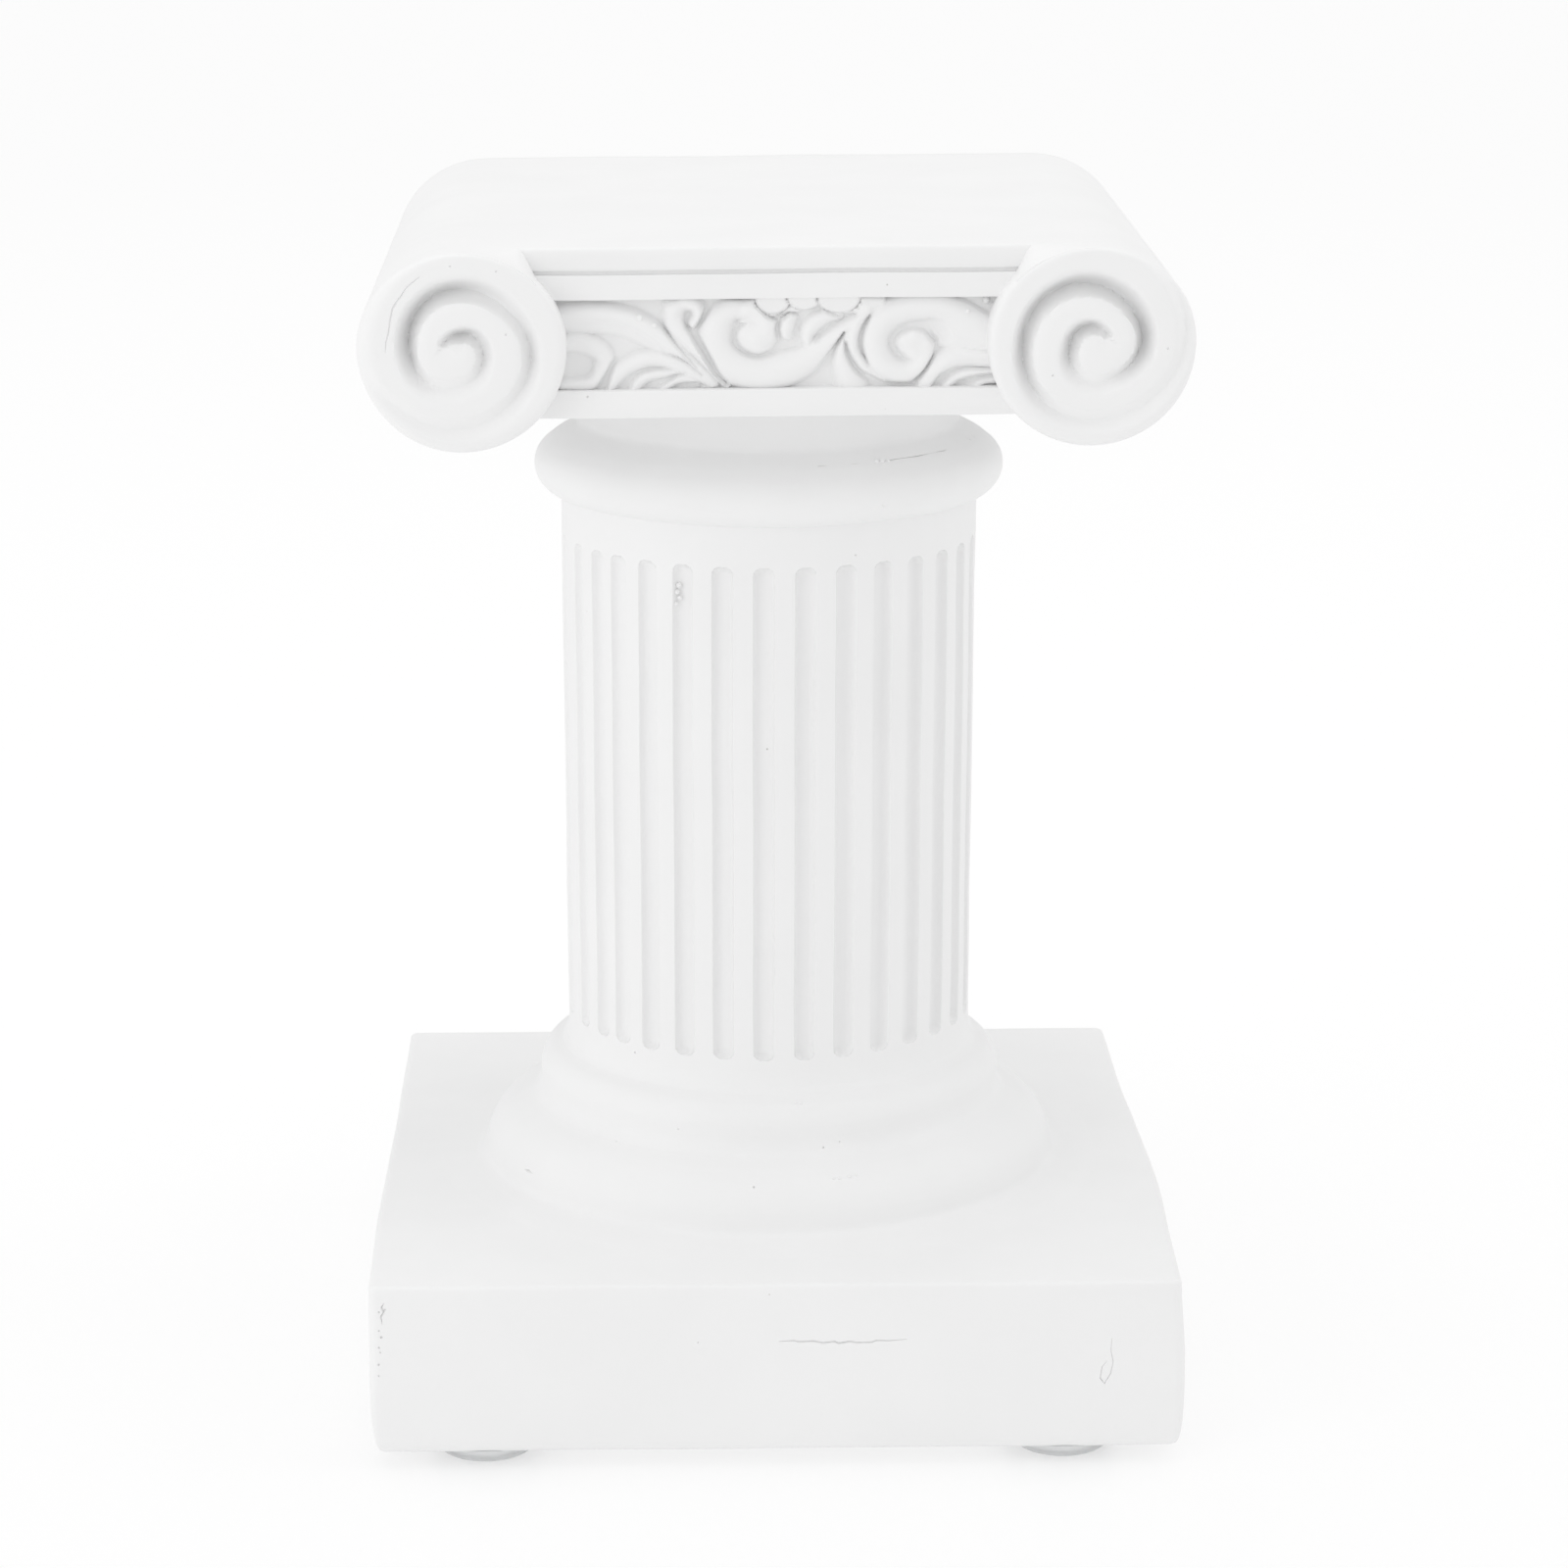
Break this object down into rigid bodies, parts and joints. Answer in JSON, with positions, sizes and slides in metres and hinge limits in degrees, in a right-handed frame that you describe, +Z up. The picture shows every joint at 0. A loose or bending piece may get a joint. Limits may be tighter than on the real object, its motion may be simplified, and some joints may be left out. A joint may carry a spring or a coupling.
{
  "type": "ornamental column",
  "caption": "Small cast column with a fluted shaft, ringed base on a square plinth, scrolled capital with a carved frieze, and stick-on feet.",
  "frame": {"origin": "middle of the footprint, on the surface that the feet stand on", "axes": "+Z up along the column, front of the capital towards -Y, +X to the right of someone who faces the front"},
  "size_m": [0.0952, 0.1006, 0.1433],
  "materials": {
    "plaster": "matte white cast plaster with a faint sheen",
    "clear_rubber": "clear soft rubber"
  },
  "bodies": {
    "root": {"column": "plaster", "foot_front_left": "clear_rubber", "foot_front_right": "clear_rubber", "foot_back_left": "clear_rubber", "foot_back_right": "clear_rubber"}
  },
  "joints": []
}
